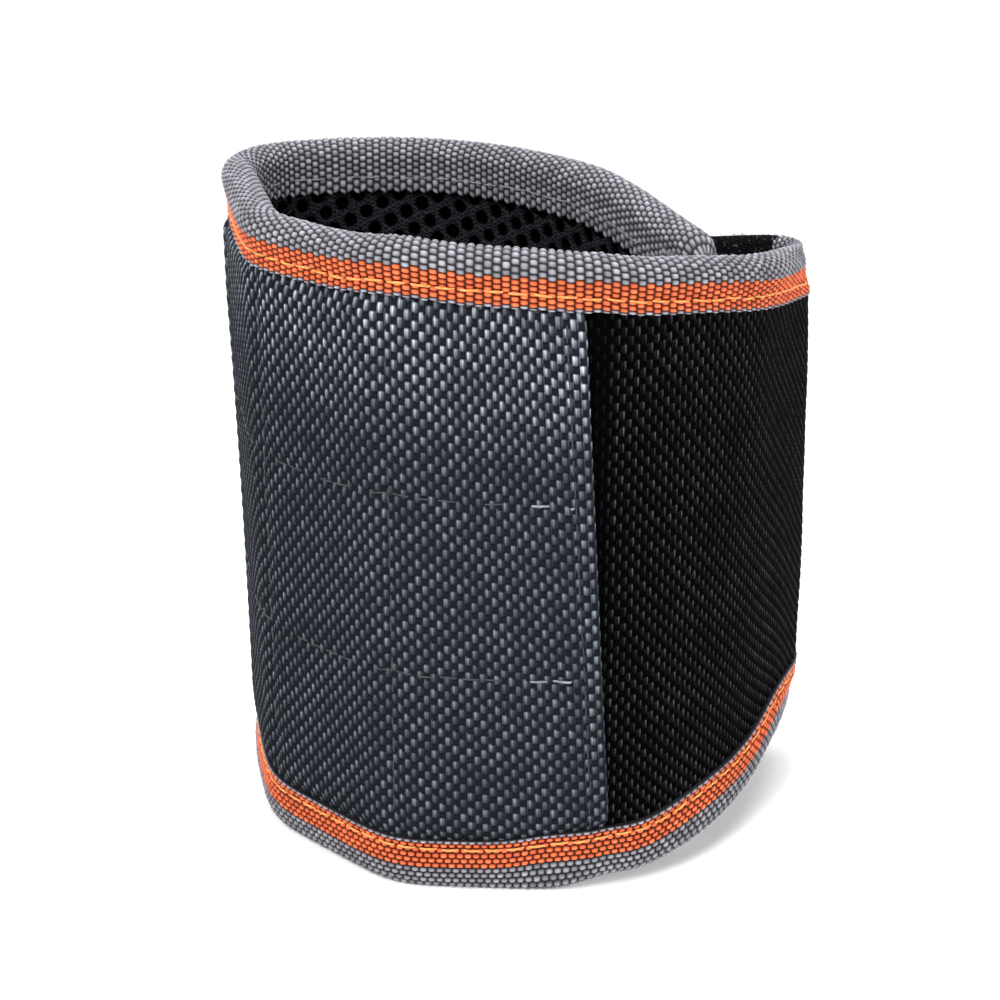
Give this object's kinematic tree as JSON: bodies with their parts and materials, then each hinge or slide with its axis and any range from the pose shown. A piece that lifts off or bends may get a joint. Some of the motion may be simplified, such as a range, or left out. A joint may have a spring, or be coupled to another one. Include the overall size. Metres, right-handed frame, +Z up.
{
  "type": "magnetic wristband",
  "caption": "Padded fabric wristband with magnets sewn into pockets, bound edges and a press-on closure strap, wrapped into a loop and standing on its edge.",
  "frame": {"origin": "on the rest face, under the middle of the front pocket column", "axes": "+Z up along the band's width, -Y out of the front pocket column, +X towards the plain panel"},
  "size_m": [0.0834, 0.0638, 0.0885],
  "materials": {
    "slate_cloth": "coarse basket-woven nylon, slate grey",
    "black_cloth": "coarse basket-woven nylon, black",
    "mesh_lining": "knitted air mesh with round holes, black",
    "binding_tape": "ribbed woven tape, grey with an orange stripe",
    "magnet": "nickel-plated magnet",
    "interlining": "non-woven interlining",
    "hook_and_loop": "brushed pile, black"
  },
  "bodies": {
    "front": {"magnet_panel": "slate_cloth", "pocket_backing": "interlining", "magnet_column1_row1": "magnet", "magnet_column1_row2": "magnet", "magnet_column1_row3": "magnet", "magnet_column2_row1": "magnet", "magnet_column2_row2": "magnet", "magnet_column2_row3": "magnet", "magnet_column3_row1": "magnet", "magnet_column3_row2": "magnet", "magnet_column3_row3": "magnet", "plain_panel": "black_cloth", "front_lining": "mesh_lining", "front_binding_upper": "binding_tape", "front_binding_lower": "binding_tape"},
    "tail": {"tail_cover": "black_cloth", "tail_lining": "mesh_lining", "tail_binding_upper": "binding_tape", "tail_binding_lower": "binding_tape", "tail_binding_tip": "binding_tape", "loop_strip": "hook_and_loop"},
    "closure": {"fold_cover": "black_cloth", "fold_lining": "mesh_lining", "fold_binding_upper": "binding_tape", "fold_binding_lower": "binding_tape", "closure_strap": "hook_and_loop", "hook_strip": "hook_and_loop"}
  },
  "joints": [
    {"name": "tail_open", "type": "hinge", "parent": "front", "child": "tail", "pos_m": [-0.03887, 0.03927, 0], "axis": [0, 0, 1], "range_deg": [0, 50]},
    {"name": "closure_peel", "type": "hinge", "parent": "front", "child": "closure", "pos_m": [0.04395, 0.0392, 0], "axis": [0, 0, -1], "range_deg": [0, 150]}
  ],
  "couplings": [
    {"joint": "closure_peel", "follows": "tail_open", "ratio": 3}
  ]
}
